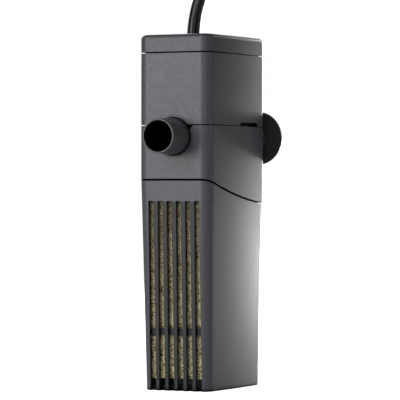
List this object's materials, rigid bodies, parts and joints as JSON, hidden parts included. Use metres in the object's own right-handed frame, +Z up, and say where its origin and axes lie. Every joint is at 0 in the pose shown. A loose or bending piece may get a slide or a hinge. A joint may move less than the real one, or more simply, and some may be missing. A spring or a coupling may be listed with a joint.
{
  "type": "internal power filter",
  "caption": "Slim internal aquarium filter: slotted foam canister under a pump base with an outlet nozzle, and a lift-off motor unit with its mains cord.",
  "frame": {"origin": "on the surface the filter stands on, under the middle of its base", "axes": "+Z up along the filter, -Y towards the slotted front and the outlet nozzle, +Y towards the suction cups"},
  "size_m": [0.1061, 0.1963, 0.2248],
  "materials": {
    "shell_plastic": "fine satin texture, moulded",
    "nozzle_plastic": "satin, moulded",
    "inner_plastic": "satin, moulded",
    "impeller_plastic": "satin, moulded",
    "bobbin_plastic": "satin, moulded",
    "filter_foam": "open-cell foam, granular",
    "cup_rubber": "soft satin rubber",
    "seal_rubber": "satin rubber",
    "ferrite_magnet": "bonded ferrite",
    "ceramic_shaft": "polished ceramic",
    "core_steel": "laminated electrical steel",
    "copper_winding": "enamelled copper wire",
    "potting_resin": "cast resin",
    "cord_rubber": "glossy black jacket",
    "tie_fabric": "woven hook-and-loop strap",
    "plug_plastic": "satin black, moulded",
    "pin_metal": "nickel-plated brass"
  },
  "bodies": {
    "canister": {"filter_canister": "shell_plastic", "foam_cartridge": "filter_foam"},
    "pump_base": {"pump_base": "shell_plastic", "intake_tube": "inner_plastic", "nozzle_seal": "seal_rubber", "cup_bracket": "shell_plastic", "suction_cup_left": "cup_rubber", "suction_cup_right": "cup_rubber"},
    "nozzle": {"outlet_nozzle": "nozzle_plastic"},
    "motor": {"motor_housing": "shell_plastic", "rotor_well": "inner_plastic", "upper_bush": "seal_rubber", "chamber_cover": "inner_plastic", "lower_bush": "seal_rubber", "chamber_seal": "seal_rubber", "rotor_shaft": "ceramic_shaft", "stator_core": "core_steel", "coil_bobbin_left": "bobbin_plastic", "coil_bobbin_right": "bobbin_plastic", "coil_winding_left": "copper_winding", "coil_winding_right": "copper_winding", "top_cap": "shell_plastic", "cable_gland": "cord_rubber", "potting_resin": "potting_resin", "power_cord_lead": "cord_rubber", "power_cord_tail": "cord_rubber", "cord_hank": "cord_rubber", "cord_tie": "tie_fabric", "plug_body": "plug_plastic", "plug_pins": "pin_metal"},
    "rotor": {"impeller": "impeller_plastic", "rotor_magnet": "ferrite_magnet"}
  },
  "joints": [
    {"name": "head_lift", "type": "slide", "parent": "canister", "child": "pump_base", "axis": [0, 0, 1], "range_m": [0, 0.1]},
    {"name": "motor_lift", "type": "slide", "parent": "pump_base", "child": "motor", "axis": [0, 0, 1], "range_m": [0, 0.05]},
    {"name": "nozzle_turn", "type": "hinge", "parent": "pump_base", "child": "nozzle", "pos_m": [0, -0.031, 0.1184], "axis": [0, -1, 0], "range_deg": [0, 90]},
    {"name": "rotor_spin", "type": "hinge", "parent": "motor", "child": "rotor", "pos_m": [0, -0.003, 0.12], "axis": [0, 0, 1], "continuous": true}
  ]
}
